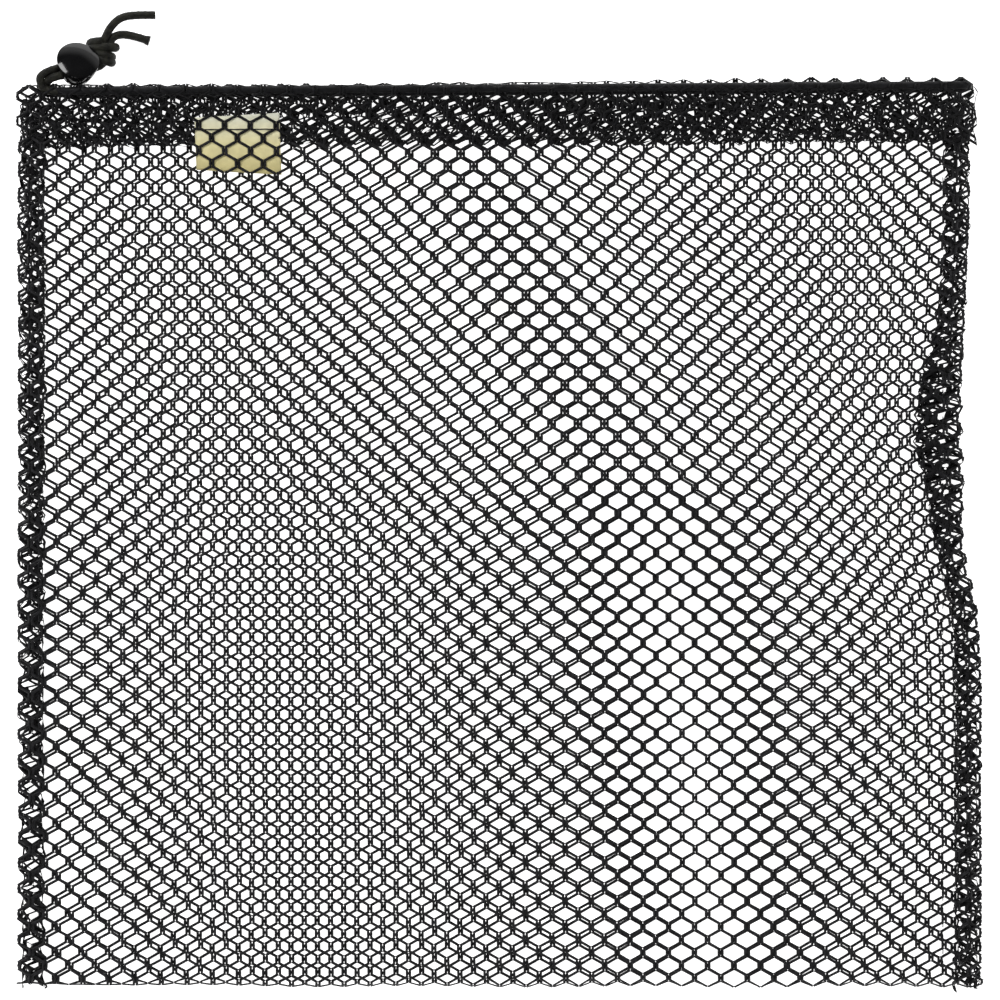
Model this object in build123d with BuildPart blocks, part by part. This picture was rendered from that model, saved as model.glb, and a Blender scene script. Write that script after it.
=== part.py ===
from build123d import *
from math import atan2, cos, degrees, pi, radians, sin, tan
import os

# A flat-lying drawstring bag of black warp-knit netting, with its mouth towards +Y.
# X runs across the bag, Y up to the mouth, and Z out of the surface that it lies on.
# The origin is under the middle of the bag, on that surface. Sizes are millimetres.

os.makedirs("parts", exist_ok=True)

# Bag
bag_width = 388
bag_height = 363
mouth_rise = 2.6          # the right end of the mouth stands this much further up
net_thickness = 0.8       # one layer of netting
mouth_gap = 4.6           # between the two drawcord tunnels
corner_radius = 7

# Hems, one along each side of the mouth, each two layers of netting round the drawcord
cord_diameter = 3.2
tunnel_clearance = 0.1
tunnel_wall = 0.6
hem_depth = 24
front_exit_inset = 16.5   # how far inside the left edge the front tunnel ends
back_exit_inset = 22
hem_inset = 8             # how far inside the left edge the hems start
turn_inset = 11           # how far inside the right edge the hems end
turn_length = 1.5         # straight cord between a hem and the drawcord's turn

# Side seams, strips of gathered seam allowance
seam_left_width = 10.5
seam_right_width = 10
seam_clearance = 0.3
hem_clearance = 0.05
left_top_inset = 1.6      # how far in the left seam starts at the mouth
left_full_depth = 90      # how far down the bag it is at its full width
left_bottom_inset = 0.8
left_bottom_rise = 20     # how far above the fold its corner starts
left_corner_inset = 2.8
right_top_inset = 5.6
right_bottom_rise = 12

# How far the right seam is drawn in, and how far down the bag that is
right_insets = [(6.2, 0.15), (10.2, 0.29), (10.6, 0.37), (6.8, 0.51), (3.4, 0.57), (2.2, 0.83)]

# Bottom fold
fold_depth = 9

# Label
label_width = 34
label_height = 22.6
label_thickness = 0.3
label_from_left = 70.5
label_depth = 12          # how far its upper edge is below the mouth's edge
label_gap = 0.1
label_seam = 5.8          # how far its stitching is below its upper edge

# Stitching, as rows of single stitches
stitch_length = 2.4
stitch_pitch = 5.3
stitch_width = 0.5
stitch_height = 0.4
hem_seam_rise = 2.5       # how far above the hem's lower edge its stitching runs
side_seam_inset = 2       # how far outside a seam's inner edge its stitching runs
side_seam_start = 10      # how far above the bottom fold it starts

# Cord lock, a rounded barrel with a plunger through it
lock_from_corner = Vector(24.6, 10.0, 12.9)
lock_tilt = 30            # its axis from upright
lock_heading = 62         # the way it tilts, from +X
cord_heading = 24         # the way the cords run through it, before they tip down across its axis
face_radius = 8.4
dome_height = 1.6
rim_height = 0.9
barrel_wall = 1.4
plunger_wall = 0.8        # beside its cord slot
plunger_clearance = 0.05
plunger_top = 3.1         # how far below the face it starts
plunger_bridge = 0.75     # over its cord slot
plunger_button = 2.15     # under its cord slot
plunger_edge = 0.8
strand_gap = 0.6
slot_clearance = 0.15
press_travel = 1.8
press_margin = 0.1
spring_seat = 0.4         # how far the bore runs up into the dome
spring_wire = 0.45
spring_radius = 2.6
spring_turns = 3
spring_clearance = 0.03

# Knot
knot_heading = 52         # the way the cords run through it
knot_length = 8
knot_end_radius = 4.0
knot_middle_radius = 4.4
lock_exit = 9.4           # where the cords bend, measured from the middle of the lock
knot_gap = 3.4            # from that bend to the knot

half_width = bag_width / 2
half_height = bag_height / 2
cord_radius = cord_diameter / 2
tunnel_bore = cord_radius + tunnel_clearance
tunnel_radius = tunnel_bore + tunnel_wall
hem_thickness = 2 * net_thickness
back_tunnel_z = tunnel_radius
front_tunnel_z = 3 * tunnel_radius + mouth_gap
front_net_z = front_tunnel_z - tunnel_radius

# The mouth is one straight line across the bag, a little out of square with the sides.
mouth_angle = degrees(atan2(mouth_rise, bag_width))


def mouth_y(x, below=0.0):
    """The mouth's edge at x, or a line that far below it."""
    return half_height - mouth_rise / 2 + mouth_rise * x / bag_width - below


def mouth_plane(z=0.0):
    """A plane on the mouth's edge whose x runs along the mouth."""
    return Plane(origin=(0, mouth_y(0), z), x_dir=(cos(radians(mouth_angle)), sin(radians(mouth_angle)), 0))


def save(part, name):
    part.label = name
    export_step(part, f"parts/{name}.step")


# Side edges, from the mouth down: the right seam is drawn in across its middle.
left_inner = -(half_width - seam_left_width)
seam_top = 2 * tunnel_radius + seam_clearance
right_edge = [(half_width - right_top_inset, mouth_y(half_width, seam_top))]
for inset, share in right_insets:
    right_edge.append((half_width - inset, half_height - share * bag_height))
right_inner = half_width - max(right_insets)[0] - seam_right_width
panel_bottom = -half_height + fold_depth
hem_left = -half_width + hem_inset
hem_right = half_width - turn_inset
exit_front = -half_width + front_exit_inset
exit_back = -half_width + back_exit_inset


# Netting panels: the back lies on the surface, the front is the same sheet folded up over it.
def panel(z):
    with BuildPart() as sheet:
        with BuildSketch(Plane.XY.offset(z)):
            with BuildLine():
                Polyline(
                    (left_inner + seam_clearance, panel_bottom),
                    (right_inner - seam_clearance, panel_bottom),
                    (right_inner - seam_clearance, mouth_y(right_inner, hem_depth + hem_clearance)),
                    (left_inner + seam_clearance, mouth_y(left_inner, hem_depth + hem_clearance)),
                    close=True,
                )
            make_face()
        extrude(amount=net_thickness)
    return sheet.part


net_back = panel(0)
save(net_back, "net_back")
net_front = panel(front_net_z)
save(net_front, "net_front")


# The bottom fold joins the two panels in a half round, without a seam.
fold_radius = (front_net_z + net_thickness) / 2
with BuildPart() as net_fold:
    with BuildSketch(Plane.YZ.offset(left_inner + seam_clearance)):
        with BuildLine():
            Line((panel_bottom, 0), (-half_height + fold_radius, 0))
            ThreePointArc(
                (-half_height + fold_radius, 0),
                (-half_height, fold_radius),
                (-half_height + fold_radius, 2 * fold_radius),
            )
            Line((-half_height + fold_radius, 2 * fold_radius), (panel_bottom, 2 * fold_radius))
            Line((panel_bottom, 2 * fold_radius), (panel_bottom, front_net_z))
            Line((panel_bottom, front_net_z), (-half_height + fold_radius, front_net_z))
            ThreePointArc(
                (-half_height + fold_radius, front_net_z),
                (-half_height + net_thickness, fold_radius),
                (-half_height + fold_radius, net_thickness),
            )
            Line((-half_height + fold_radius, net_thickness), (panel_bottom, net_thickness))
            Line((panel_bottom, net_thickness), (panel_bottom, 0))
        make_face()
    extrude(amount=right_inner - left_inner - 2 * seam_clearance)
save(net_fold.part, "net_fold")


# Hems: a tube round the drawcord with the turned-down netting below it.
def hem(tunnel_z, flange_z, tunnel_left):
    flange_length = hem_right - hem_left
    with BuildPart() as piece:
        with BuildSketch(mouth_plane(flange_z)):
            with Locations((hem_left, -hem_depth)):
                Rectangle(flange_length, hem_depth - tunnel_radius, align=(Align.MIN, Align.MIN))
        extrude(amount=hem_thickness)
        tube_start = mouth_plane(tunnel_z).location * Location((tunnel_left, -tunnel_radius, 0))
        tube_plane = Plane(origin=tube_start.position, z_dir=mouth_plane().x_dir)
        with BuildSketch(tube_plane):
            Circle(tunnel_radius)
        extrude(amount=hem_right - tunnel_left)
        bore_start = mouth_plane(tunnel_z).location * Location((hem_left - 5, -tunnel_radius, 0))
        with BuildSketch(Plane(origin=bore_start.position, z_dir=mouth_plane().x_dir)):
            Circle(tunnel_bore)
        extrude(amount=bag_width, mode=Mode.SUBTRACT)
    return piece.part


hem_back = hem(back_tunnel_z, 0, exit_back)
save(hem_back, "hem_back")
hem_front = hem(front_tunnel_z, front_net_z, exit_front)
save(hem_front, "hem_front")


# Side seams close the two panels along their long edges.
seam_height = front_net_z + net_thickness
with BuildPart() as seam_left:
    with BuildSketch() as left_outline:
        with BuildLine():
            Polyline(
                (left_inner, -half_height),
                (left_inner, mouth_y(left_inner, hem_depth + seam_clearance)),
                (hem_left - seam_clearance, mouth_y(hem_left, hem_depth + seam_clearance)),
                (hem_left - seam_clearance, mouth_y(hem_left, seam_top)),
                (-half_width + left_top_inset, mouth_y(-half_width, seam_top)),
                (-half_width, half_height - left_full_depth),
                (-half_width + left_bottom_inset, -half_height + left_bottom_rise),
                (-half_width + left_corner_inset, -half_height + corner_radius),
                (-half_width + corner_radius, -half_height),
                close=True,
            )
        make_face()
    extrude(amount=seam_height)
save(seam_left.part, "seam_left")

with BuildPart() as seam_right:
    with BuildSketch() as right_outline:
        with BuildLine():
            Spline(*right_edge, (half_width, -half_height + right_bottom_rise))
            Line(
                (half_width, -half_height + right_bottom_rise),
                (half_width - corner_radius, -half_height),
            )
            Line((half_width - corner_radius, -half_height), (right_inner, -half_height))
            Line(
                (right_inner, -half_height),
                (right_inner, mouth_y(right_inner, hem_depth + seam_clearance)),
            )
            Line(
                (right_inner, mouth_y(right_inner, hem_depth + seam_clearance)),
                (hem_right + seam_clearance, mouth_y(hem_right, hem_depth + seam_clearance)),
            )
            Line(
                (hem_right + seam_clearance, mouth_y(hem_right, hem_depth + seam_clearance)),
                (hem_right + seam_clearance, mouth_y(hem_right, seam_top)),
            )
            Line((hem_right + seam_clearance, mouth_y(hem_right, seam_top)), right_edge[0])
        make_face()
    extrude(amount=seam_height)
save(seam_right.part, "seam_right")


# Drawcord: held all the way in the hems, round the right end of the mouth.
def tube(points, corner_radii, name, diameter=cord_diameter):
    """A round cord along straight runs joined by tangent arcs."""
    with BuildPart() as cord:
        with BuildLine() as route:
            FilletPolyline(*points, radius=corner_radii)
        with BuildSketch(Plane(origin=route.line @ 0, z_dir=route.line % 0)):
            Circle(diameter / 2)
        sweep(path=route.line)
    length = sum(edge.length for edge in route.edges())
    swept = pi * diameter**2 / 4 * length
    print(f"{name}: length {length:.1f}, volume {cord.part.volume / swept:.4f} of its sweep")
    return cord.part


def radii(points):
    """The largest arc that each corner's runs allow."""
    corners = []
    for before, here, after in zip(points, points[1:], points[2:]):
        incoming = Vector(*here) - Vector(*before)
        outgoing = Vector(*after) - Vector(*here)
        half_turn = radians(incoming.get_angle(outgoing)) / 2
        corners.append(0.45 * min(incoming.length, outgoing.length) / tan(half_turn))
    return corners


def along_mouth(x, z):
    """A point of the drawcord's line in the hems."""
    return (x, mouth_y(x, tunnel_radius), z)


turn_radius = (front_tunnel_z - back_tunnel_z) / 2
turn_end = hem_right + turn_length + turn_radius
drawcord_points = [
    along_mouth(exit_front, front_tunnel_z),
    along_mouth(turn_end, front_tunnel_z),
    along_mouth(turn_end, back_tunnel_z),
    along_mouth(exit_back, back_tunnel_z),
]
drawcord = tube(drawcord_points, [turn_radius * 0.98, turn_radius * 0.98], "drawcord")
save(drawcord, "drawcord")


# Cord lock. Its own plane stands on its face: x along the cords, z out along its axis.
corner = Vector(-half_width, mouth_y(-half_width), 0)
lock_face = corner + lock_from_corner
slot_height = cord_diameter + 2 * slot_clearance
cord_spacing = cord_diameter + strand_gap
plunger_radius = (cord_spacing + slot_height) / 2 + plunger_wall
cord_depth = plunger_top + plunger_bridge + slot_height / 2
plunger_end = cord_depth + slot_height / 2 + press_travel + plunger_button
barrel_length = plunger_end - press_travel - press_margin
bore_radius = plunger_radius + plunger_clearance
barrel_end_radius = bore_radius + barrel_wall
tilt = radians(lock_tilt)
heading = radians(lock_heading)
lock_axis = Vector(sin(tilt) * cos(heading), sin(tilt) * sin(heading), cos(tilt))
level = Vector(cos(radians(cord_heading)), sin(radians(cord_heading)), 0)
cord_direction = (level - lock_axis * (level.dot(lock_axis) / lock_axis.dot(lock_axis))).normalized()
across = lock_axis.cross(cord_direction)
profile_plane = Plane(origin=lock_face, x_dir=across, z_dir=across.cross(lock_axis))
cord_crossing = lock_face - lock_axis * cord_depth
slot_plane = Plane(origin=cord_crossing, x_dir=across, z_dir=cord_direction)
axis_of_lock = Axis(lock_face, lock_axis)

with BuildPart() as lock_barrel:
    with BuildSketch(profile_plane):
        with BuildLine():
            Line((0, spring_seat), (0, dome_height))
            ThreePointArc((0, dome_height), (face_radius * 0.6, dome_height * 0.68), (face_radius, 0))
            Line((face_radius, 0), (face_radius, -rim_height))
            ThreePointArc(
                (face_radius, -rim_height),
                (face_radius * 0.88, -barrel_length * 0.58),
                (barrel_end_radius, -barrel_length),
            )
            Line((barrel_end_radius, -barrel_length), (bore_radius, -barrel_length))
            Line((bore_radius, -barrel_length), (bore_radius, spring_seat))
            Line((bore_radius, spring_seat), (0, spring_seat))
        make_face()
    revolve(axis=axis_of_lock)
    with BuildSketch(slot_plane.offset(-face_radius)):
        SlotCenterToCenter(cord_spacing, slot_height)
    extrude(amount=2 * face_radius, mode=Mode.SUBTRACT)
save(lock_barrel.part, "lock_barrel")

with BuildPart() as lock_plunger:
    button_end = lock_face - lock_axis * plunger_end
    with BuildSketch(Plane(origin=button_end, x_dir=cord_direction, z_dir=lock_axis)):
        Circle(plunger_radius)
    extrude(amount=plunger_end - plunger_top)
    fillet(lock_plunger.edges().sort_by(axis_of_lock)[0], plunger_edge)
    with BuildSketch(slot_plane.offset(-face_radius)):
        with Locations((0, -press_travel / 2)):
            RectangleRounded(cord_spacing + slot_height, slot_height + press_travel, slot_height / 2 - 0.05)
    extrude(amount=2 * face_radius, mode=Mode.SUBTRACT)
save(lock_plunger.part, "lock_plunger")

spring_length = plunger_top + spring_seat - spring_wire - 2 * spring_clearance
spring_base = lock_face - lock_axis * (plunger_top - spring_wire / 2 - spring_clearance)
with BuildPart() as lock_spring:
    with BuildLine():
        coil = Helix(
            pitch=spring_length / spring_turns,
            height=spring_length,
            radius=spring_radius,
            center=spring_base,
            direction=lock_axis,
        )
    with BuildSketch(Plane(origin=coil @ 0, z_dir=coil % 0)):
        Circle(spring_wire / 2)
    sweep(path=coil, is_frenet=True)
save(lock_spring.part, "lock_spring")


# Free cord ends: from the hems, through the lock, to the knot.
def on_lock_line(side, distance):
    """A point of one strand's straight run through the lock."""
    point = cord_crossing + across * (side * cord_spacing / 2) + cord_direction * distance
    return (point.X, point.Y, point.Z)


knot_axis = Vector(cos(radians(knot_heading)), sin(radians(knot_heading)), 0)
knot_across = Vector(-sin(radians(knot_heading)), cos(radians(knot_heading)), 0)
knot_base = cord_crossing + cord_direction * lock_exit + knot_axis * knot_gap


def from_corner(x, y, z):
    """A point placed from the mouth's left corner."""
    return (corner.X + x, corner.Y + y, z)


def into_knot(side):
    """Where one strand meets the knot, straight on from its bend beside the lock."""
    bend = Vector(*on_lock_line(side, lock_exit))
    point = bend + knot_axis * (knot_base - bend).dot(knot_axis)
    return (point.X, point.Y, point.Z)


def out_of_knot(side, height, distance=0.0):
    """Where one tail leaves the knot, or a point straight on from there."""
    point = knot_base + knot_axis * (knot_length + distance)
    point += knot_across * (side * cord_spacing / 2) + Vector(0, 0, height)
    return (point.X, point.Y, point.Z)


front_points = [
    along_mouth(exit_front, front_tunnel_z),
    along_mouth(exit_front - 7.5, front_tunnel_z),
    from_corner(4.2, 1.5, 12.4),
    on_lock_line(1, -19),
    on_lock_line(1, lock_exit),
    into_knot(1),
]
back_points = [
    along_mouth(exit_back, back_tunnel_z),
    along_mouth(exit_back - 6.6, back_tunnel_z),
    from_corner(10.6, -0.5, 4.2),
    from_corner(9.2, 0.9, 8.6),
    from_corner(10.6, 1.9, 12.2),
    on_lock_line(-1, -11.6),
    on_lock_line(-1, lock_exit),
    into_knot(-1),
]
upper_tail_points = [
    out_of_knot(1, 0.8),
    out_of_knot(1, 0.8, 4.2),
    from_corner(41.2, 27.7, 4.6),
    from_corner(47.0, 30.0, 2.8),
    from_corner(53.6, 29.7, 1.8),
]
lower_tail_points = [
    out_of_knot(-1, -0.8),
    out_of_knot(-1, -0.8, 3.6),
    from_corner(46.0, 21.5, 2.6),
    from_corner(51.4, 19.3, 1.8),
]
cord_routes = {
    "cord_end_front": front_points,
    "cord_end_back": back_points,
    "cord_tail_upper": upper_tail_points,
    "cord_tail_lower": lower_tail_points,
}
for name, points in cord_routes.items():
    corner_radii = radii(points)
    print(name, "radii", [round(r, 1) for r in corner_radii])
    for point in points:
        print("   ", [round(value, 2) for value in point])
    save(tube(points, corner_radii, name), name)

with BuildPart() as cord_knot:
    with BuildSketch(Plane(origin=knot_base, x_dir=knot_across, z_dir=knot_axis.cross(knot_across))):
        with BuildLine():
            Line((0, 0), (knot_end_radius, 0))
            ThreePointArc(
                (knot_end_radius, 0),
                (knot_middle_radius, -knot_length / 2),
                (knot_end_radius, -knot_length),
            )
            Line((knot_end_radius, -knot_length), (0, -knot_length))
            Line((0, -knot_length), (0, 0))
        make_face()
    revolve(axis=Axis(knot_base, knot_axis))
save(cord_knot.part, "cord_knot")


# Label: a blank woven tag between the two panels, hanging from the front hem.
label_left = -half_width + label_from_left
label_top = mouth_y(label_left, label_depth)
label_z = front_net_z - label_gap - label_thickness
with BuildPart() as label:
    with BuildSketch(Plane.XY.offset(label_z)):
        with Locations((label_left, label_top)):
            Rectangle(label_width, label_height, align=(Align.MIN, Align.MAX))
    extrude(amount=label_thickness)
save(label.part, "label")


# Stitching: rows of single stitches lying on the netting.
def stitches(places, z, along_x):
    """Separate stitches centred on the places."""
    size = (stitch_length, stitch_width) if along_x else (stitch_width, stitch_length)
    with BuildPart() as row:
        with BuildSketch(Plane.XY.offset(z)):
            with Locations(*places):
                Rectangle(*size)
        extrude(amount=stitch_height)
    return row.part


label_row = []
for i in range(int(label_width / stitch_pitch)):
    x = label_left + stitch_length + i * stitch_pitch
    label_row.append((x, label_top - label_seam))
save(stitches(label_row, front_net_z + hem_thickness, True), "label_stitching")

hem_row = []
for i in range(int((right_inner - left_inner) / stitch_pitch)):
    x = left_inner + 2 * stitch_length + i * stitch_pitch
    hem_row.append((x, mouth_y(x, hem_depth - hem_seam_rise)))
save(stitches(hem_row, front_net_z + hem_thickness, True), "hem_stitching_front")
save(stitches(hem_row, hem_thickness, True), "hem_stitching_back")

left_row = []
right_row = []
for i in range(int((bag_height - hem_depth - 2 * side_seam_start) / stitch_pitch)):
    y = -half_height + side_seam_start + i * stitch_pitch
    left_row.append((left_inner - side_seam_inset, y))
    right_row.append((right_inner + side_seam_inset, y))
save(stitches(left_row, seam_height, False), "side_stitching_left")
save(stitches(right_row, seam_height, False), "side_stitching_right")
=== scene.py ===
from math import cos, pi, sin

import bmesh
import bpy
import numpy as np
from mathutils import Matrix, Vector


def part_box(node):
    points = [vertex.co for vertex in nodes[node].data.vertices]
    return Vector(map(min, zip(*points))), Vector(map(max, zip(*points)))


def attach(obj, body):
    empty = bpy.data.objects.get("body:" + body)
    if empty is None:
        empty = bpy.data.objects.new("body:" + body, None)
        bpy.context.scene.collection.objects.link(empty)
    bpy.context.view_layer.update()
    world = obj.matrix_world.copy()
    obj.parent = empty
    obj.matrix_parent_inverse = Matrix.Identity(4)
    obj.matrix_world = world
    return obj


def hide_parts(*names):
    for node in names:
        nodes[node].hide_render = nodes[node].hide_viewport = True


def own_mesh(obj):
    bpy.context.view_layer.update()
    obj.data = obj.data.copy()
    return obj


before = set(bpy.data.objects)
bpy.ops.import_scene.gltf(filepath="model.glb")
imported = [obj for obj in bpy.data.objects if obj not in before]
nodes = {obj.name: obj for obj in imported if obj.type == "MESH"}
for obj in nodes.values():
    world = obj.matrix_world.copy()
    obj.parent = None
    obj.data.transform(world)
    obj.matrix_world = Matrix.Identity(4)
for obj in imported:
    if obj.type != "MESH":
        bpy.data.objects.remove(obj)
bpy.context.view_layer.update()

# A flat-lying drawstring bag of black warp-knit netting, in metres. X runs across the
# bag, Y up to its mouth and Z out of the surface it lies on.
scene = bpy.context.scene
MM = 0.001


# ---------------------------------------------------------------- camera
lens_height = 1111        # mm above the middle of the view
view_y = 13.7             # mm, the middle of the view
view_z = 8
camera_data = bpy.data.cameras.new("Camera")
camera_data.lens = 100
camera_data.sensor_width = 36
camera = bpy.data.objects.new("Camera", camera_data)
scene.collection.objects.link(camera)
view_centre = Vector((-1.4 * MM, view_y * MM, view_z * MM))
camera.location = view_centre + Vector((0, 0, lens_height * MM))
scene.camera = camera


# ---------------------------------------------------------------- materials
def shader(name, roughness, sheen=0.0, sheen_roughness=0.4, specular=0.5, metallic=0.0):
    """A new material, its nodes, its links and its surface shader."""
    material = bpy.data.materials.new(name)
    material.use_nodes = True
    surface = material.node_tree.nodes["Principled BSDF"]
    surface.inputs["Roughness"].default_value = roughness
    surface.inputs["Sheen Weight"].default_value = sheen
    surface.inputs["Sheen Roughness"].default_value = sheen_roughness
    surface.inputs["Specular IOR Level"].default_value = specular
    surface.inputs["Metallic"].default_value = metallic
    return material, material.node_tree.nodes, material.node_tree.links, surface


def place_on_piece(made):
    """Where a pattern lies on its piece."""
    return made.new("ShaderNodeTexCoord").outputs["Object"]


def speckle(made, links, vector, scale, detail=3.0, distortion=0.0):
    """Soft uneven noise along a vector."""
    noise = made.new("ShaderNodeTexNoise")
    noise.inputs["Scale"].default_value = scale
    noise.inputs["Detail"].default_value = detail
    noise.inputs["Distortion"].default_value = distortion
    links.new(vector, noise.inputs["Vector"])
    return noise.outputs["Fac"]


def shades(made, links, amount, stops):
    """A run of colours picked by an amount from 0 to 1."""
    ramp = made.new("ShaderNodeValToRGB")
    while len(ramp.color_ramp.elements) < len(stops):
        ramp.color_ramp.elements.new(0.5)
    for element, (position, colour) in zip(ramp.color_ramp.elements, stops):
        element.position = position
        element.color = (*colour, 1)
    links.new(amount, ramp.inputs["Fac"])
    return ramp.outputs["Color"]


def relief(made, links, surface, height, distance, strength=1.0):
    """Raises the surface by a height pattern."""
    bump = made.new("ShaderNodeBump")
    bump.inputs["Distance"].default_value = distance
    bump.inputs["Strength"].default_value = strength
    links.new(height, bump.inputs["Height"])
    links.new(bump.outputs["Normal"], surface.inputs["Normal"])


def ripple(made, links, vector, scale, direction="DIAGONAL", distortion=0.0):
    """Even ridges, such as twisted plies."""
    wave = made.new("ShaderNodeTexWave")
    wave.bands_direction = direction
    wave.inputs["Scale"].default_value = scale
    wave.inputs["Distortion"].default_value = distortion
    links.new(vector, wave.inputs["Vector"])
    return wave.outputs["Fac"]


def yarn_finish(name, dark, light, ply_scale):
    """Black multifilament yarn: fine plies, with lighter specks over the black as painted highlights.
    """
    material, made, links, surface = shader(
        name, 0.55, sheen=0.02, sheen_roughness=0.35, specular=0.2
    )
    at = place_on_piece(made)
    filaments = ripple(made, links, at, ply_scale, distortion=2.5)
    painted_highlight_specks = speckle(made, links, at, 420, 4)
    # The lighter colour in this mix is painted highlight on the filaments, spread by noise.
    links.new(shades(made, links, painted_highlight_specks, [(0.35, dark), (0.72, light)]), surface.inputs["Base Color"])
    relief(made, links, surface, filaments, 0.00012, 0.8)
    return material


def plastic_finish():
    """Glossy moulded plastic with faint moulding waves and fine handling scuffs."""
    material, made, links, surface = shader("black_gloss_plastic", 0.1, specular=0.35)
    at = place_on_piece(made)
    waves = speckle(made, links, at, 90, 2)
    scuffs = speckle(made, links, at, 1600, 5, 0.6)
    tint = shades(made, links, waves, [(0.3, (0.003, 0.003, 0.0032)), (0.75, (0.007, 0.007, 0.0075))])
    links.new(tint, surface.inputs["Base Color"])
    rough = made.new("ShaderNodeMapRange")
    rough.inputs["To Min"].default_value = 0.04
    rough.inputs["To Max"].default_value = 0.14
    links.new(scuffs, rough.inputs["Value"])
    links.new(rough.outputs["Result"], surface.inputs["Roughness"])
    relief(made, links, surface, scuffs, 0.00002, 0.25)
    return material


def steel_finish():
    """Drawn spring wire."""
    material, made, links, surface = shader("spring_steel_wire", 0.25, metallic=1.0)
    at = place_on_piece(made)
    drawn = speckle(made, links, at, 900, 4)
    links.new(
        shades(made, links, drawn, [(0.3, (0.42, 0.42, 0.43)), (0.7, (0.7, 0.7, 0.71))]),
        surface.inputs["Base Color"],
    )
    relief(made, links, surface, drawn, 0.00003, 0.3)
    return material


def label_finish(label_low, label_high):
    """Woven khaki cloth, paler towards its sewn edge."""
    material, made, links, surface = shader("khaki_label_weave", 0.85, sheen=0.2)
    at = place_on_piece(made)
    split = made.new("ShaderNodeSeparateXYZ")
    links.new(at, split.inputs["Vector"])
    up_the_label = made.new("ShaderNodeMapRange")
    up_the_label.inputs["From Min"].default_value = label_low
    up_the_label.inputs["From Max"].default_value = label_high
    links.new(split.outputs["Y"], up_the_label.inputs["Value"])
    tone = shades(
        made,
        links,
        up_the_label.outputs["Result"],
        [
            (0.0, (0.69, 0.6, 0.27)), (0.5, (0.87, 0.79, 0.43)),
            (0.85, (0.87, 0.84, 0.6)), (1.0, (0.79, 0.79, 0.66)),
        ],
    )
    slub = speckle(made, links, at, 260, 5)
    mix = made.new("ShaderNodeMix")
    mix.data_type = "RGBA"
    mix.blend_type = "MULTIPLY"
    mix.inputs["Factor"].default_value = 0.45
    links.new(tone, mix.inputs["A"])
    links.new(shades(made, links, slub, [(0.3, (0.62, 0.62, 0.58)), (0.7, (1, 1, 1))]), mix.inputs["B"])
    links.new(mix.outputs["Result"], surface.inputs["Base Color"])
    warp = ripple(made, links, at, 1250, "X")
    weft = ripple(made, links, at, 1250, "Y")
    cross = made.new("ShaderNodeMath")
    cross.operation = "MULTIPLY"
    links.new(warp, cross.inputs[0])
    links.new(weft, cross.inputs[1])
    relief(made, links, surface, cross.outputs["Value"], 0.00008)
    return material


netting_yarn = yarn_finish("netting_yarn", (0.003, 0.003, 0.0035), (0.022, 0.022, 0.025), 900)
# A darker copy of the netting yarn: painted shade for the stacked layers of the hems and side seams and
# for the cord inside the hems.
shade_darkened_yarn = yarn_finish("shade_darkened_yarn", (0.001, 0.001, 0.0013), (0.009, 0.009, 0.011), 900)
braid_yarn = yarn_finish("braid_yarn", (0.003, 0.003, 0.002), (0.02, 0.02, 0.014), 700)
thread_yarn = yarn_finish("sewing_thread", (0.004, 0.004, 0.005), (0.02, 0.02, 0.023), 1500)


def new_piece(name, data, material, body, replaced=()):
    """Links one finished piece, on its CAD body and in its material slot."""
    piece = bpy.data.objects.new(name, data)
    scene.collection.objects.link(piece)
    data.materials.append(material)
    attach(piece, body)
    if replaced:
        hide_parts(*replaced)
    return piece


# ---------------------------------------------------------------- lock
gloss = plastic_finish()
for node in ("lock_barrel", "lock_plunger"):
    nodes[node].data.materials.clear()
    nodes[node].data.materials.append(gloss)

lock_axis = Vector((0.2347, 0.4415, 0.866))


def lock_coil():
    """The lock's spring as its own mesh, with its top point and its length along the lock's axis."""
    coil = bmesh.new()
    coil.from_mesh(nodes["lock_spring"].data)
    coil.transform(nodes["lock_spring"].matrix_world)
    mesh = bpy.data.meshes.new("lock_coil")
    coil.to_mesh(mesh)
    coil.free()
    heights = [vert.co.dot(lock_axis) for vert in mesh.vertices]
    top = mesh.vertices[heights.index(max(heights))].co.copy()
    mesh.materials.clear()
    return mesh, top, max(heights) - min(heights)


coil_mesh, coil_top, coil_length = lock_coil()
coil = new_piece("lock_coil", coil_mesh, steel_finish(), "lock", ("lock_spring",))
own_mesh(coil)


# ---------------------------------------------------------------- cords
cord_width = 3.2 * MM


def cord_line(points):
    """A cord's own line: a smooth curve of one open spline."""
    line = bpy.data.curves.new("cord_line", "CURVE")
    line.dimensions = "3D"
    spline = line.splines.new("NURBS")
    spline.points.add(len(points) - 1)
    for spot, (x, y, z) in zip(spline.points, points):
        spot.co = (x * MM, y * MM, z * MM, 1)
    spline.order_u = 3
    spline.use_endpoint_u = True
    line.resolution_u = 28
    return line


def as_mesh(line):
    """A curve as its own mesh."""
    holder = bpy.data.objects.new("line", line)
    scene.collection.objects.link(holder)
    mesh = bpy.data.meshes.new_from_object(holder.evaluated_get(bpy.context.evaluated_depsgraph_get()))
    bpy.data.objects.remove(holder)
    return mesh


def mesh_spots(mesh):
    """A mesh's vertices as rows of x, y, z."""
    spots = np.empty(len(mesh.vertices) * 3)
    mesh.vertices.foreach_get("co", spots)
    return spots.reshape(-1, 3)


cells_round = 4           # pairs of braid cells round a cord
cell_length = 1.35 * MM
braid_relief = 0.07       # of the cord's radius


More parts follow.
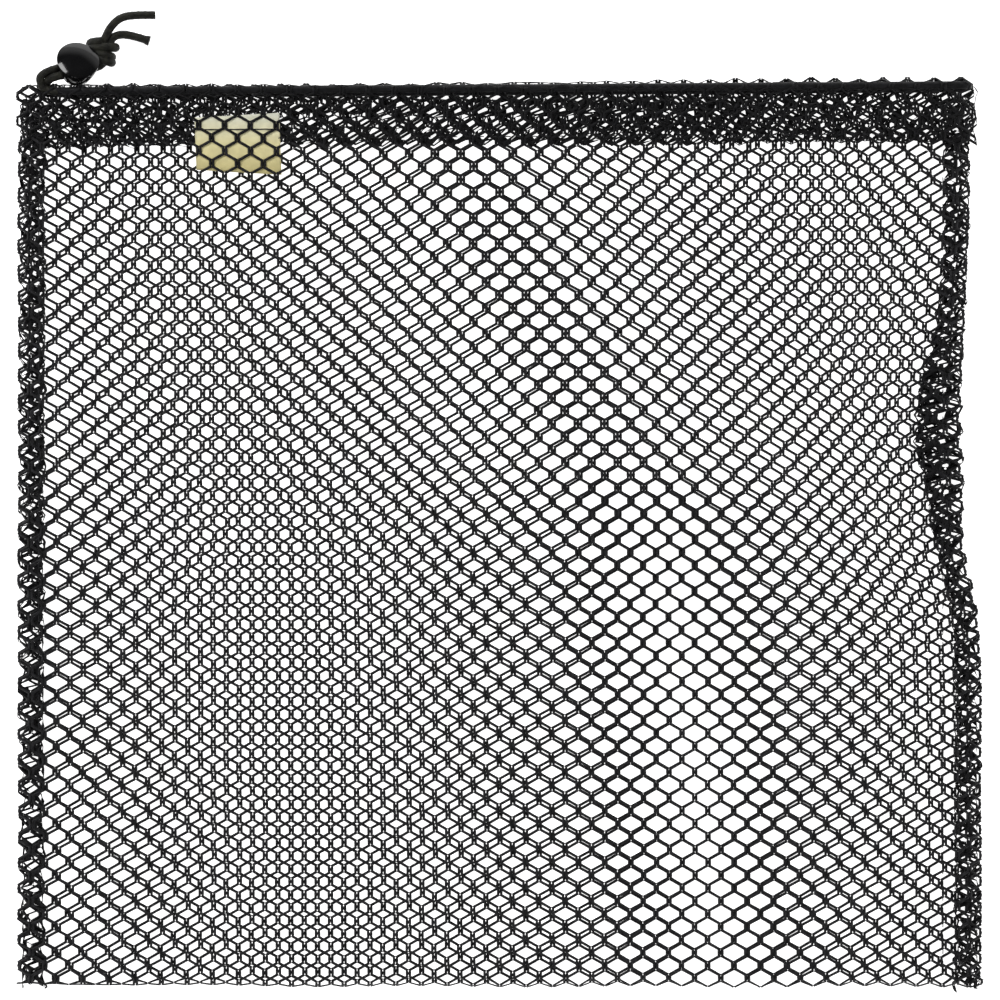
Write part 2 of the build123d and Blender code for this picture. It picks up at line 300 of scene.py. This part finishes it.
def braided(line, radius, flare=0.0):
    """A braided cord along its line: raised cells where the strands cross, and its line's points."""
    path = mesh_spots(as_mesh(line.copy()))
    line.bevel_depth = radius
    line.bevel_resolution = 14
    mesh = as_mesh(line)
    rings = len(path)
    spots = mesh_spots(mesh).reshape(rings, -1, 3)
    around = spots.shape[1]
    run = np.concatenate([[0], np.cumsum(np.linalg.norm(path[1:] - path[:-1], axis=1))])[:, None]
    turn = np.linspace(0, 2 * pi, around, endpoint=False)[None, :]
    one_way = np.abs(np.cos(cells_round * turn + pi / 2 * run / cell_length))
    other_way = np.abs(np.cos(cells_round * turn - pi / 2 * run / cell_length))
    size = 1 - braid_relief + 1.6 * braid_relief * np.sqrt(one_way * other_way)
    size = size + flare * np.clip((run - run[-1] + 0.003) / 0.003, 0, 1) ** 2
    spots = path[:, None, :] + (spots - path[:, None, :]) * size[..., None]
    mesh.vertices.foreach_set("co", spots.ravel())
    tube = bmesh.new()
    tube.from_mesh(mesh)
    bmesh.ops.holes_fill(tube, edges=tube.edges, sides=around)
    bmesh.ops.recalc_face_normals(tube, faces=tube.faces)
    for face in tube.faces:
        face.smooth = len(face.verts) == 4
    tube.to_mesh(mesh)
    tube.free()
    return mesh, path


upper_route = [
    (-177.5, 176.71, 11.5), (-181.2, 176.7, 11.5), (-184.4, 178.2, 12.0), (-184.8, 184.27, 12.97),
    (-163.05, 190.44, 3.92), (-161.9, 193.4, 3.92), (-159.6, 199.4, 5.36), (-157.4, 203.6, 5.36),
    (-153.6, 207.4, 4.6), (-147.4, 208.7, 2.8), (-140.0, 208.7, 1.8),
]
lower_route = [
    (-172.0, 176.75, 2.3), (-175.6, 176.7, 2.3), (-179.4, 177.4, 4.4), (-182.8, 178.6, 8.6),
    (-182.0, 180.8, 11.6), (-179.1, 182.21, 12.48), (-174.99, 183.37, 10.77),
    (-161.59, 187.17, 5.20), (-159.6, 190.6, 5.20), (-158.2, 196.6, 3.76),
    (-156.6, 200.2, 3.76), (-150.6, 201.0, 2.6), (-142.4, 198.3, 1.8),
]
upper_mesh, upper_path = braided(cord_line(upper_route), cord_width / 2)
lower_mesh, lower_path = braided(cord_line(lower_route), cord_width / 2, 0.3)
upper_cord = new_piece(
    "cord_end_upper", upper_mesh, braid_yarn, "bag",
    ("cord_end_front", "cord_tail_upper"),
)
lower_cord = new_piece(
    "cord_end_lower", lower_mesh, braid_yarn, "bag",
    ("cord_end_back", "cord_tail_lower"),
)


def knot_wrap():
    """The overhand knot: both cords wound round themselves beside the lock."""
    knot = bmesh.new()
    middle = Vector((-160.2, 193.2, 4.75))
    for across, low, high, turns, start, width, shift in (
        (Vector((0.95, -0.3, 0)), -3.8, -0.4, 1.6, 2.6, 4.6, 0.0),
        (Vector((1.0, -0.04, 0)), 0.9, 4.0, 1.3, 3.4, 5.6, -0.9),
    ):
        along = Vector((-across.y, across.x, 0))
        points = []
        steps = 14
        for i in range(steps + 1):
            share = i / steps
            angle = start - 2 * pi * turns * share
            reach = width * sin(pi * (0.16 + 0.7 * share)) ** 0.5
            point = middle + along * (low + (high - low) * share)
            point += across * (shift + reach * cos(angle))
            point.z += 2.9 * sin(angle)
            points.append(tuple(point))
        wrap, _ = braided(cord_line(points), cord_width * 0.56)
        knot.from_mesh(wrap)
    mesh = bpy.data.meshes.new("knot_wrap")
    knot.to_mesh(mesh)
    knot.free()
    return mesh


cord_knot = new_piece("knot_wrap", knot_wrap(), braid_yarn, "bag", ("cord_knot",))


# ---------------------------------------------------------------- netting
column = 10.42            # mm between the pillars of one row
course = 5.155            # mm between rows, each row half a column along
period = 2 * course
pillar_half = 1.16        # the rings of a pillar are placed by this
columns = 37
panel_periods = 32
panel_height = 330.0
left_edge = -189.0
panel_low = -172.5
mouth_slope = 2.6 / 388


def station(x, y, lean, half_width, half_height):
    """The cross-section of a wale at one height, as a transform of a unit ring."""
    return (
        Matrix.Translation((x, y, 0))
        @ Matrix.Rotation(lean, 4, "Z")
        @ Matrix.Diagonal((half_width, 1, half_height, 1))
    )


def wale(bm, hand, half_height, thick):
    """One wale over two rows: up one pillar, across a strand, up the next, and back."""
    reach = column / 2
    stations = []
    for foot, turn in ((0, 1), (1, -1)):
        for rise, gap, lean, width in (
            (-1.2, 0.50, 0.50, 0.65), (-0.85, 0.66, 0.2, 0.49), (0.0, 0.50, 0.0, 0.65),
            (0.85, 0.66, -0.2, 0.49), (1.2, 0.50, -0.50, 0.65),
        ):
            x = foot * reach + turn * gap
            y = foot * course + rise * pillar_half
            stations.append(station(hand * x, y, hand * turn * lean, width * thick, half_height))
    stations.append(Matrix.Translation((0, period, 0)) @ stations[0])
    upright = Matrix.Rotation(pi / 2, 4, "X")
    ring = bmesh.ops.create_circle(bm, segments=4, radius=1, matrix=upright)["verts"]
    bmesh.ops.transform(bm, matrix=stations[0], verts=ring)
    edges = list({edge for vert in ring for edge in vert.link_edges})
    for here, there in zip(stations, stations[1:]):
        grown = bmesh.ops.extrude_edge_only(bm, edges=edges)["geom"]
        ring = [item for item in grown if isinstance(item, bmesh.types.BMVert)]
        edges = [
            item for item in grown
            if isinstance(item, bmesh.types.BMEdge) and all(vert in ring for vert in item.verts)
        ]
        bmesh.ops.transform(bm, matrix=there @ here.inverted(), verts=ring)


def repeated(mesh, count, offset, merge):
    """The mesh repeated in a row."""
    holder = bpy.data.objects.new("repeat", mesh)
    scene.collection.objects.link(holder)
    row = holder.modifiers.new("row", "ARRAY")
    row.count = count
    row.use_relative_offset = False
    row.use_constant_offset = True
    row.constant_offset_displace = offset
    row.use_merge_vertices = merge
    row.merge_threshold = 0.01
    made = bpy.data.meshes.new_from_object(holder.evaluated_get(bpy.context.evaluated_depsgraph_get()))
    bpy.data.objects.remove(holder)
    return made


def flat_netting(wide, periods, half_height=0.36, thick=1.0):
    """Flat netting, so many columns wide and so many periods of two rows high, in mm."""
    bm = bmesh.new()
    for hand in (1, -1):
        wale(bm, hand, half_height, thick)
    bmesh.ops.recalc_face_normals(bm, faces=bm.faces)
    mesh = bpy.data.meshes.new("wales")
    bm.to_mesh(mesh)
    bm.free()
    mesh = repeated(mesh, periods, (0, period, 0), True)
    bm = bmesh.new()
    bm.from_mesh(mesh)
    bmesh.ops.holes_fill(bm, edges=bm.edges, sides=4)
    bmesh.ops.recalc_face_normals(bm, faces=bm.faces)
    bm.to_mesh(mesh)
    bm.free()
    return repeated(mesh, wide, (column, 0, 0), False)


def shaped(name, flat, place, material, replaced):
    """Lays flat netting in its place: place gives x, y, z in mm from flat x, y and z."""
    spots = mesh_spots(flat)
    x, y, z = place(spots[:, 0], spots[:, 1], spots[:, 2])
    spots = np.stack([x, y, z], axis=1) * MM
    flat.vertices.foreach_set("co", spots.ravel())
    flat.polygons.foreach_set("use_smooth", np.ones(len(flat.polygons), dtype=bool))
    flat.update()
    flat.name = name
    return new_piece(name, flat, material, "bag", replaced)


def ease(t):
    """0 to 1, smoothly."""
    t = np.clip(t, 0, 1)
    return t * t * (3 - 2 * t)


def hump(t, middle, reach):
    """1 at the middle, down to 0 at either reach."""
    return 1 - ease(np.abs(t - middle) / reach)


def wobble(x, y, size, seed):
    """Small smooth unevenness."""
    return size * (
        np.sin(x * 0.071 + seed * 1.7 + 0.6 * np.sin(y * 0.043 + seed))
        + 0.6 * np.sin(y * 0.093 + seed * 2.3 + 0.8 * np.sin(x * 0.057 - seed))
    ) / 1.6


def crumple(x, y, size, seed):
    """Sharper unevenness, of gathered or turned-in netting."""
    return size * (
        np.sin(x * 0.61 + 1.9 * np.sin(y * 0.37 + seed) + seed)
        + np.sin(y * 0.83 + 1.6 * np.sin(x * 0.29 - seed) + 2.1 * seed)
    ) / 2


def mouth_line(x):
    """The mouth's edge at x."""
    return 180.2 + mouth_slope * x


def right_pull(y):
    """How far the right side is drawn in."""
    return 8.5 * hump(y, 48, 120) ** 1.2 + 3.0 * hump(y, -5, 30) + 5.5 * ease((y - 60) / 120)


def cloth_x(x, y):
    """Flat columns spread over the bag, drawn in at the right."""
    spread = left_edge + x
    return spread - right_pull(y) * ease((spread - 90) / 100) + wobble(spread, y, 0.35, 3)


crease_y = -2.3           # a fold mark straight across the bag


def drift(x, y):
    """How far the front layer has slipped over the back one, across and up."""
    side = x / 180
    above_crease = np.maximum(y - crease_y, 0) / 160
    up = 0.2 - 0.53 * side - 0.13 * side**3 - 0.07 * (y + 14) / 160 - above_crease * (0.19 + 0.1 * side)
    across = -0.03 - 0.11 * ease((y + 30) / 80) + 0.2 * side**2 * ease((-y - 20) / 120)
    return across * column, up * period


def drawn_in(x, y, z):
    """Spreads the lower layer so that it shows in step with the upper one from the lens."""
    share = 1 - (z - view_z) / lens_height
    return x * share, view_y + (y - view_y) * share


def panel_place(front):
    """Where the front or the back layer of the bag lies."""
    half = 0.5 if front else -0.5

    def place(u, v, w):
        y = panel_low + v * (panel_height / (panel_periods * period))
        x = cloth_x(u, y)
        across, up = drift(x, y)
        rim = ease((x + 190) / 30) * ease((186 - x) / 30)
        x = x + half * across * ease((x + 194) / 12) * ease((190 - x) / 12)
        y = y + half * up
        y = y + mouth_slope * x * ease((y + 170) / 330)
        sag = rim * ease((y + 178) / 42) * ease((156 - y) / 45)
        if front:
            z = 9.6 - 7.9 * sag + wobble(x * 1.7, y * 1.7, 0.35, 5) * sag
        else:
            z = 0.42 + 0 * x
        x, y = drawn_in(x, y, z)
        return x, y, z + w

    return place


panel_back = shaped(
    "netting_back", flat_netting(columns, panel_periods), panel_place(False),
    netting_yarn, replaced=("net_back",),
)
panel_front = shaped(
    "netting_front", flat_netting(columns, panel_periods), panel_place(True),
    netting_yarn, replaced=("net_front",),
)


def route_place(path):
    """Netting laid along a bent route given as (y, z) points, its flat height following it."""
    path = np.array(path, dtype=float)
    steps = np.hypot(*(path[1:] - path[:-1]).T)
    run = np.concatenate([[0], np.cumsum(steps)])

    def follow(v):
        s = np.clip(v, 0, run[-1])
        y = np.interp(s, run, path[:, 0])
        z = np.interp(s, run, path[:, 1])
        ahead = np.clip(s + 0.2, 0, run[-1])
        behind = np.clip(s - 0.2, 0, run[-1])
        dy = np.interp(ahead, run, path[:, 0]) - np.interp(behind, run, path[:, 0])
        dz = np.interp(ahead, run, path[:, 1]) - np.interp(behind, run, path[:, 1])
        size = np.hypot(dy, dz)
        return y, z, -dz / size, dy / size

    return follow


hem_periods = 7
route_lead = 7            # mm of each route before its netting starts
hem_turn = 25             # mm of flat netting before it turns down over the cord
hem_tuck = 52             # and before its edge is turned in
right_end = 187.8         # the hems' columns crowd together past this


def hem_place(path, seed, scallop, half):
    """A hem: the netting turned over the drawcord and down again."""
    follow = route_place(path)

    def place(u, v, w):
        x = cloth_x(u, 170 + 0 * u)
        across, up = drift(x, 160 + 0 * x)
        below, z, normal_y, normal_z = follow(v + route_lead + half * up)
        x = x + half * across
        turned = ease((v - hem_turn) / 6)
        folded_in = ease((v - hem_tuck) / 4)
        slip = turned * (2.2 + crumple(x, v, 0.9, seed))
        x = x + slip + folded_in * (3.1 + crumple(x, v, 1.0, seed + 5))
        rise = (turned + folded_in) * crumple(x, v, 0.8, seed + 2) * ease((-below - 2) / 6)
        edge = hump(below, 0.9, 5)
        x = x + 1.8 * ease((x - 150) / 36)
        x = np.where(x > right_end, right_end + (x - right_end) * 0.3, x)
        x, y = drawn_in(x, mouth_line(x) + below, z)
        y = y + w * normal_y + rise + scallop * edge * np.cos(2 * pi * u / column)
        y = y + wobble(x * 3, 0 * x, 0.4, seed) * edge
        return x, y, z + w * normal_z

    return place


hem_front_path = [
    (-29.7, 9.2), (-22.7, 9.8), (-8, 10.4), (-5, 11.2), (-3.6, 12.8), (-2.0, 13.5),
    (-0.4, 12.9), (0.3, 11.6), (-0.2, 10.2), (-1.8, 9.5), (-6, 9.2), (-23.5, 8.5),
    (-25, 8.3), (-23.5, 8.1), (-5.5, 8.8), (-2.5, 8.6),
]
hem_back_path = [
    (-29.7, 0.42), (-22.7, 0.42), (-4, 0.42), (-1.2, 0.6), (0.4, 1.4), (1.0, 2.4),
    (0.2, 3.7), (-1.8, 4.4), (-3.6, 3.9), (-5.2, 2.4), (-8, 1.7), (-23.5, 1.7),
    (-25, 1.35), (-23.5, 1.0), (-5.5, 1.0), (-2.5, 1.0),
]
# The hems are drawn in the darkened yarn: painted shade of their stacked layers.
front_hem = shaped(
    "front_hem", flat_netting(columns, hem_periods, 0.3), hem_place(hem_front_path, 1.0, 0.7, 0.5),
    shade_darkened_yarn, replaced=("hem_front",),
)
back_hem = shaped(
    "back_hem", flat_netting(columns, hem_periods, 0.3), hem_place(hem_back_path, 4.0, 0.5, -0.5),
    shade_darkened_yarn, replaced=("hem_back",),
)

fold_periods = 2
fold_path = [
    (-165.5, 0.42), (-172.5, 0.42), (-177.0, 0.6), (-179.3, 1.5), (-180.1, 3.2),
    (-180.1, 5.2), (-179.6, 7.2), (-177.6, 8.8), (-172.5, 9.6), (-165.5, 9.3),
]


def fold_place(u, v, w):
    """The bottom fold, joining the two layers without a seam."""
    x = cloth_x(u, -176 + 0 * u)
    across, up = drift(x, -176 + 0 * x)
    y, z, normal_y, normal_z = follow_fold(v + route_lead + up / 2)
    x = x + across * (v / (fold_periods * period) - 0.5)
    edge = hump(y, -181.5, 6)
    y = y - 0.6 * edge * np.cos(2 * pi * u / column) + wobble(x, 0 * x, 0.6, 2) * edge
    x, y = drawn_in(x, y, z)
    return x, y + w * normal_y, z + w * normal_z


follow_fold = route_place(fold_path)
bottom_fold = shaped(
    "bottom_fold", flat_netting(columns, fold_periods), fold_place, netting_yarn,
    replaced=("net_fold",),
)


# ---------------------------------------------------------------- side seams
seam_periods = 35
seam_columns = 5
seam_height = 354.0


def seam_place(edge_side, seed):
    """Gathered seam allowance folded over the side of the bag."""

    def place(u, v, w):
        y = -181.5 + v * (seam_height / (seam_periods * period)) + 0.09 * u
        turn = u / (1.17 * column) * pi
        if edge_side < 0:
            middle, reach = -188.9, 4.7
        else:
            middle = 186.0 - right_pull(y) * 0.95 - 4.0 * hump(y, 42, 60)
            reach = 4.8 + 4.5 * hump(y, 42, 60)
        x = middle - edge_side * reach * np.cos(turn) + crumple(u * 3, y, 0.8, seed)
        x = x + edge_side * 0.7 * np.cos(pi * y / course)
        z = 5.0 + 2.4 * np.sin(turn) + crumple(u * 2, y * 0.7, 0.5, seed + 1)
        return x, y + crumple(u, y, 0.9, seed + 3), z + w

    return place


# The side seams are drawn in the darkened yarn: painted shade of their gathered layers.
left_seam = shaped(
    "left_seam", flat_netting(seam_columns, seam_periods, thick=0.96), seam_place(-1, 1.0),
    shade_darkened_yarn, replaced=("seam_left",),
)
right_seam = shaped(
    "right_seam", flat_netting(seam_columns, seam_periods, thick=0.92), seam_place(1, 2.0),
    shade_darkened_yarn, replaced=("seam_right",),
)


# ---------------------------------------------------------------- drawcord in the hems
def in_the_hems():
    """The part of the cord that runs round the mouth inside its hems."""
    line = cord_line([
        (-177.5, 176.71, 11.5), (-60, 177.5, 11.5), (60, 178.3, 11.5), (179.0, 179.1, 11.5),
        (184.6, 179.2, 11.4), (186.6, 179.2, 6.9), (184.6, 179.2, 2.4), (179.0, 179.1, 2.3),
        (60, 178.3, 2.3), (-60, 177.5, 2.3), (-172.0, 176.75, 2.3),
    ])
    line.resolution_u = 12
    line.bevel_depth = cord_width / 2
    line.bevel_resolution = 3
    line.use_fill_caps = True
    return line


# The cord inside the hems takes the darkened yarn: painted shade from the hem round it.
new_piece("cord_in_hems", in_the_hems(), shade_darkened_yarn, "bag", ("drawcord",))


# ---------------------------------------------------------------- stitching
stitch_arch = ((-1, -0.25), (-0.6, 0.12), (0.6, 0.12), (1, -0.25))


def stitch_row(name, places, along, height, replaced, half_length=1.25):
    """A row of single thread stitches, each a short arch."""
    line = bpy.data.curves.new(name, "CURVE")
    line.dimensions = "3D"
    for x, y in places:
        spline = line.splines.new("NURBS")
        spline.points.add(3)
        for spot, (run, rise) in zip(spline.points, stitch_arch):
            run = run * half_length
            spot.co = ((x + run * along[0]) * MM, (y + run * along[1]) * MM, (height + rise) * MM, 1)
        spline.order_u = 3
        spline.use_endpoint_u = True
    line.resolution_u = 3
    line.bevel_depth = 0.22 * MM
    line.bevel_resolution = 1
    line.use_fill_caps = True
    return new_piece(name, line, thread_yarn, "bag", replaced)


stitch_pitch = 5.3
along_the_mouth = (1, 0.0067)
up_the_side = (0, 1)
hem_row = [(x, mouth_line(x) - 21.5) for x in np.arange(-178.7, 170.5, stitch_pitch)]
beside_label = [(x, y) for x, y in hem_row if not -125 < x < -89]
stitch_row("front_hem_stitches", beside_label, along_the_mouth, 10.95, ("hem_stitching_front",))
stitch_row("back_hem_stitches", hem_row, along_the_mouth, 1.75, ("hem_stitching_back",))
left_row = [(-185.5, y) for y in np.arange(-171.5, 141.5, stitch_pitch)]
right_row = [(175.4, y) for y in np.arange(-171.5, 141.5, stitch_pitch)]
stitch_row("left_seam_stitches", left_row, up_the_side, 10.2, ("side_stitching_left",))
stitch_row("right_seam_stitches", right_row, up_the_side, 10.2, ("side_stitching_right",))


# ---------------------------------------------------------------- label
def label_cloth():
    """A blank woven tag with a slight curl."""
    low, high = (Vector(corner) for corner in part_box("label"))
    bm = bmesh.new()
    bmesh.ops.create_grid(bm, x_segments=34, y_segments=22, size=0.5)
    bmesh.ops.scale(bm, vec=(high.x - low.x, high.y - low.y, 1), verts=bm.verts)
    bmesh.ops.translate(bm, vec=((low.x + high.x) / 2, (low.y + high.y) / 2, high.z), verts=bm.verts)
    for vert in bm.verts:
        across = (vert.co.x - low.x) / (high.x - low.x)
        down = (high.y - vert.co.y) / (high.y - low.y)
        vert.co.x += 0.0007 * down
        vert.co.y += 0.0019 * (across - 0.5) * (1 - 2 * down)
        below_hem = float(ease((156 - vert.co.y / MM) / 45))
        vert.co.z = (9.0 - 7.9 * below_hem + max(0.0, (vert.co.y / MM - 156) / 12 * 0.9)) * MM
    bmesh.ops.solidify(bm, geom=bm.faces, thickness=0.0003)
    bmesh.ops.recalc_face_normals(bm, faces=bm.faces)
    mesh = bpy.data.meshes.new("label_cloth")
    bm.to_mesh(mesh)
    bm.free()
    for polygon in mesh.polygons:
        polygon.use_smooth = True
    return mesh, low.y, high.y


label_mesh, label_low, label_high = label_cloth()
label = new_piece(
    "blank_label", label_mesh, label_finish(label_low, label_high), "bag", ("label",)
)
label_row = [(x, mouth_line(x) - 17.8) for x in np.arange(-121.1, -90.5, stitch_pitch)]
stitch_row("label_stitches", label_row, along_the_mouth, 9.8, ("label_stitching",), 2.6)


# ---------------------------------------------------------------- floor and light
def studio():
    """A plain white table, lit softly from all round."""
    bm = bmesh.new()
    bmesh.ops.create_grid(bm, x_segments=1, y_segments=1, size=8)
    bmesh.ops.translate(bm, vec=(0, 0, -0.0003), verts=bm.verts)
    mesh = bpy.data.meshes.new("table_top")
    bm.to_mesh(mesh)
    bm.free()
    floor = bpy.data.objects.new("table_top", mesh)
    scene.collection.objects.link(floor)
    white, _, _, surface = shader("white_table", 0.9, specular=0.0)
    surface.inputs["Base Color"].default_value = (0.9, 0.9, 0.9, 1)
    surface.inputs["Emission Color"].default_value = (1, 1, 1, 1)
    surface.inputs["Emission Strength"].default_value = 1.0
    mesh.materials.append(white)
    sky = bpy.data.worlds.new("studio")
    sky.use_nodes = True
    made, links = sky.node_tree.nodes, sky.node_tree.links
    split = made.new("ShaderNodeSeparateXYZ")
    links.new(made.new("ShaderNodeTexCoord").outputs["Generated"], split.inputs["Vector"])
    walls = shades(
        made, links, split.outputs["Z"],
        [(0.0, (1, 1, 1)), (0.16, (0.85, 0.85, 0.85)), (0.4, (0.03, 0.03, 0.03))],
    )
    links.new(walls, made["Background"].inputs["Color"])
    scene.world = sky
    for name, spot, size, power in (
        ("softbox_left", (-0.7, 0.9, 1.2), 0.7, 20),
        ("softbox_right", (0.9, -0.3, 1.4), 0.8, 12),
    ):
        lamp = bpy.data.lights.new(name, "AREA")
        lamp.size = size
        lamp.energy = power
        holder = bpy.data.objects.new(name, lamp)
        holder.location = spot
        holder.rotation_euler = (-Vector(spot)).to_track_quat("-Z", "Y").to_euler()
        scene.collection.objects.link(holder)
    scene.view_settings.view_transform = "Standard"


studio()
